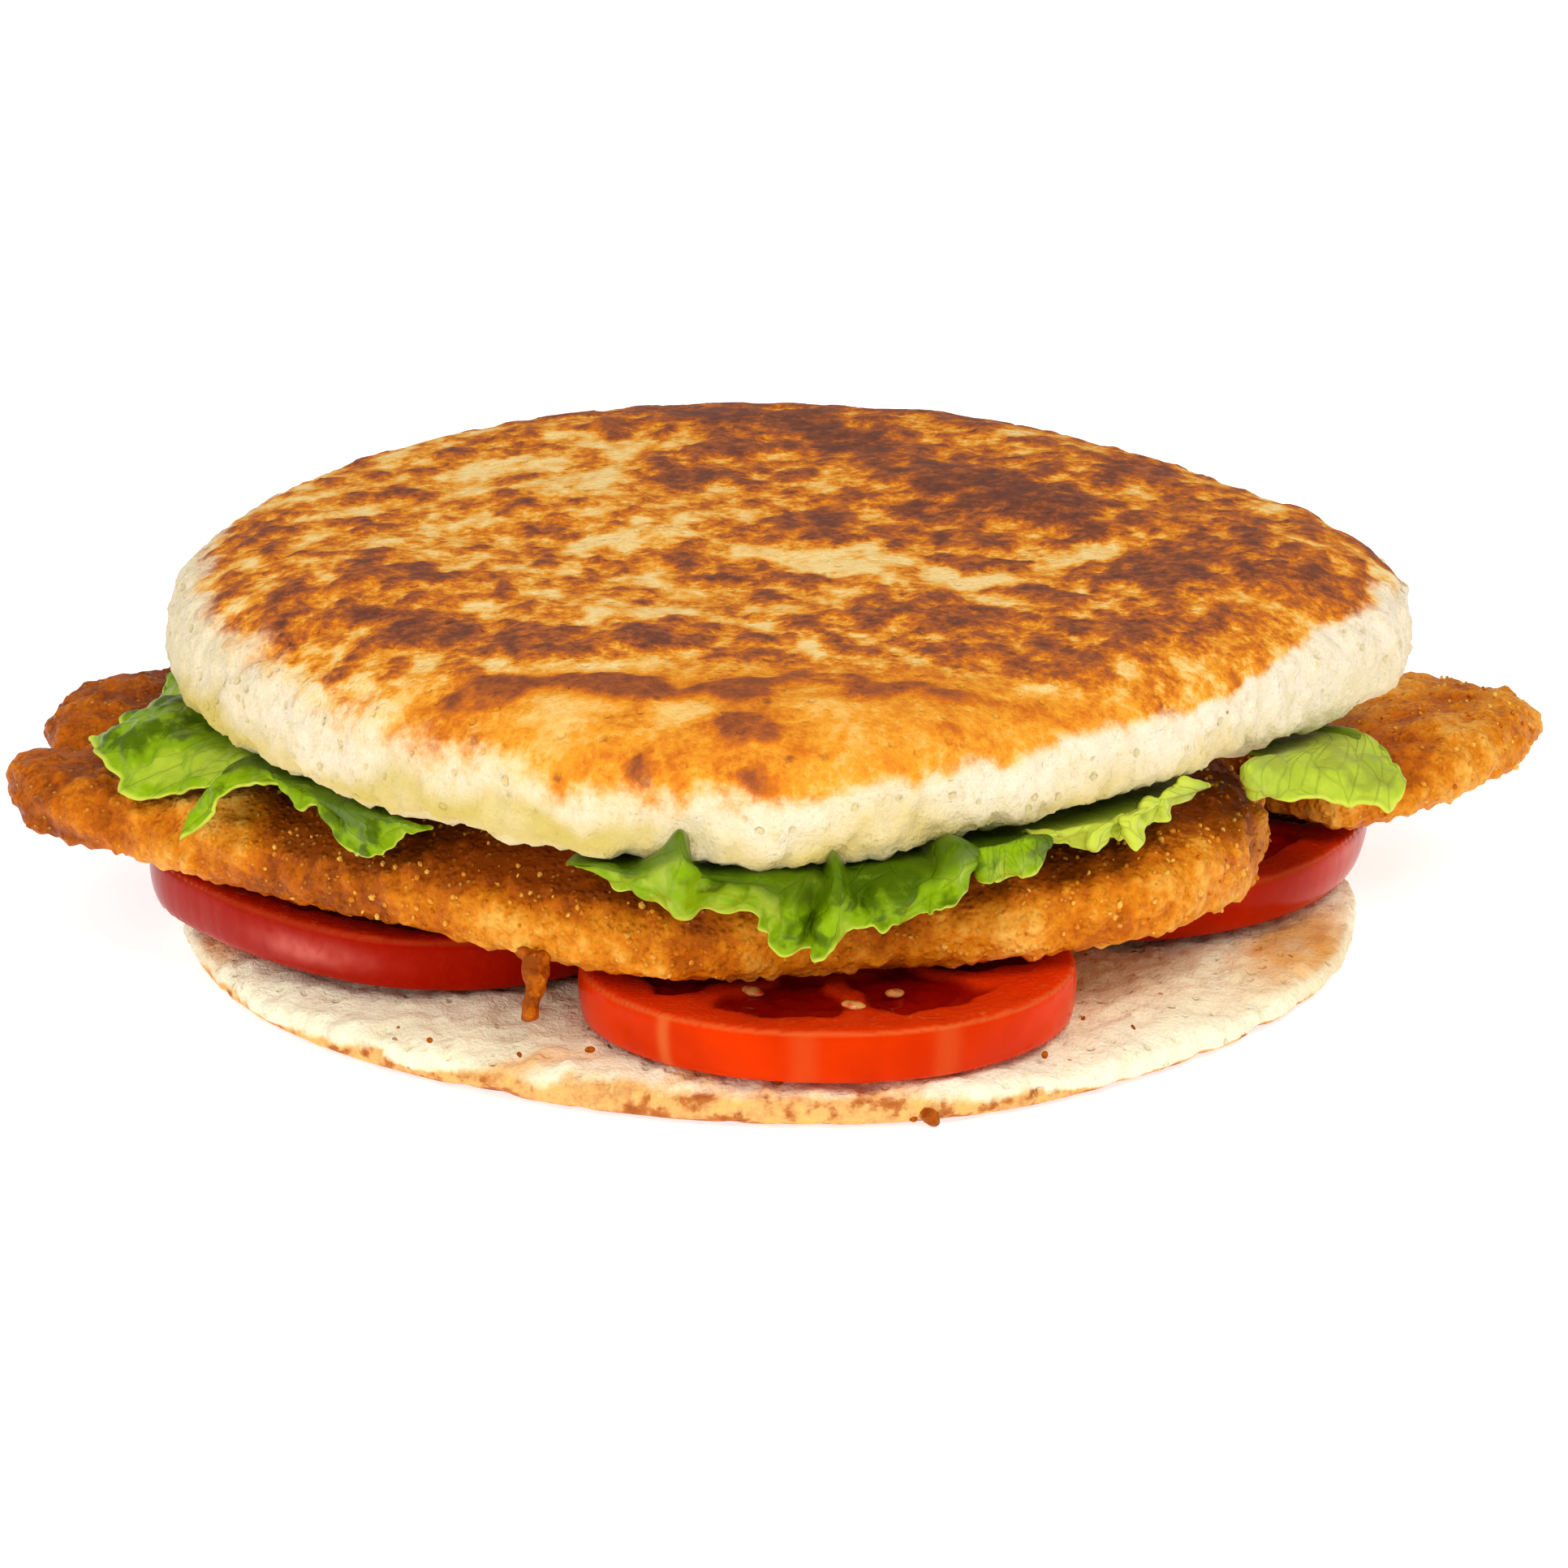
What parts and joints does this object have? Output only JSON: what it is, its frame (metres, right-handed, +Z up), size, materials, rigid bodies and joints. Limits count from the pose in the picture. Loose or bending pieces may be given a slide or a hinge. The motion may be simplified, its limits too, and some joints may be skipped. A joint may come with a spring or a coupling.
{
  "type": "stuffed arepa corn cake",
  "caption": "Griddled corn cake split in two and filled with tomato slices, crumbed fillets and lettuce, resting on its flat underside.",
  "frame": {"origin": "middle of the lower half's flat underside, on the surface that the arepa rests on", "axes": "+X along the fillets, to the right as seen from the front; +Y to the back; +Z up"},
  "size_m": [0.2, 0.1628, 0.0517],
  "materials": {
    "griddled_crust": "dry baked corn crust, cream to golden brown with dark scorched patches and small blisters",
    "corn_crumb": "matt, slightly porous pale corn crumb with a toasted lower rim",
    "tomato": "wet, glossy ripe tomato skin and cut flesh",
    "fried_crumb_coating": "rough golden-brown fried crumb coating, slightly oily",
    "lettuce": "thin, crisp, satin leaf, bright yellow-green with paler veins and rim"
  },
  "bodies": {
    "root": {"arepa_top": "griddled_crust", "arepa_bottom": "corn_crumb", "tomato_front": "tomato", "tomato_left": "tomato", "tomato_right": "tomato", "tomato_back": "tomato", "fillet_front": "fried_crumb_coating", "fillet_rear": "fried_crumb_coating", "lettuce_left": "lettuce", "lettuce_left_curl": "lettuce", "lettuce_front": "lettuce", "lettuce_front_right": "lettuce", "lettuce_right": "lettuce", "lettuce_back": "lettuce", "lettuce_back_left": "lettuce"}
  },
  "joints": []
}
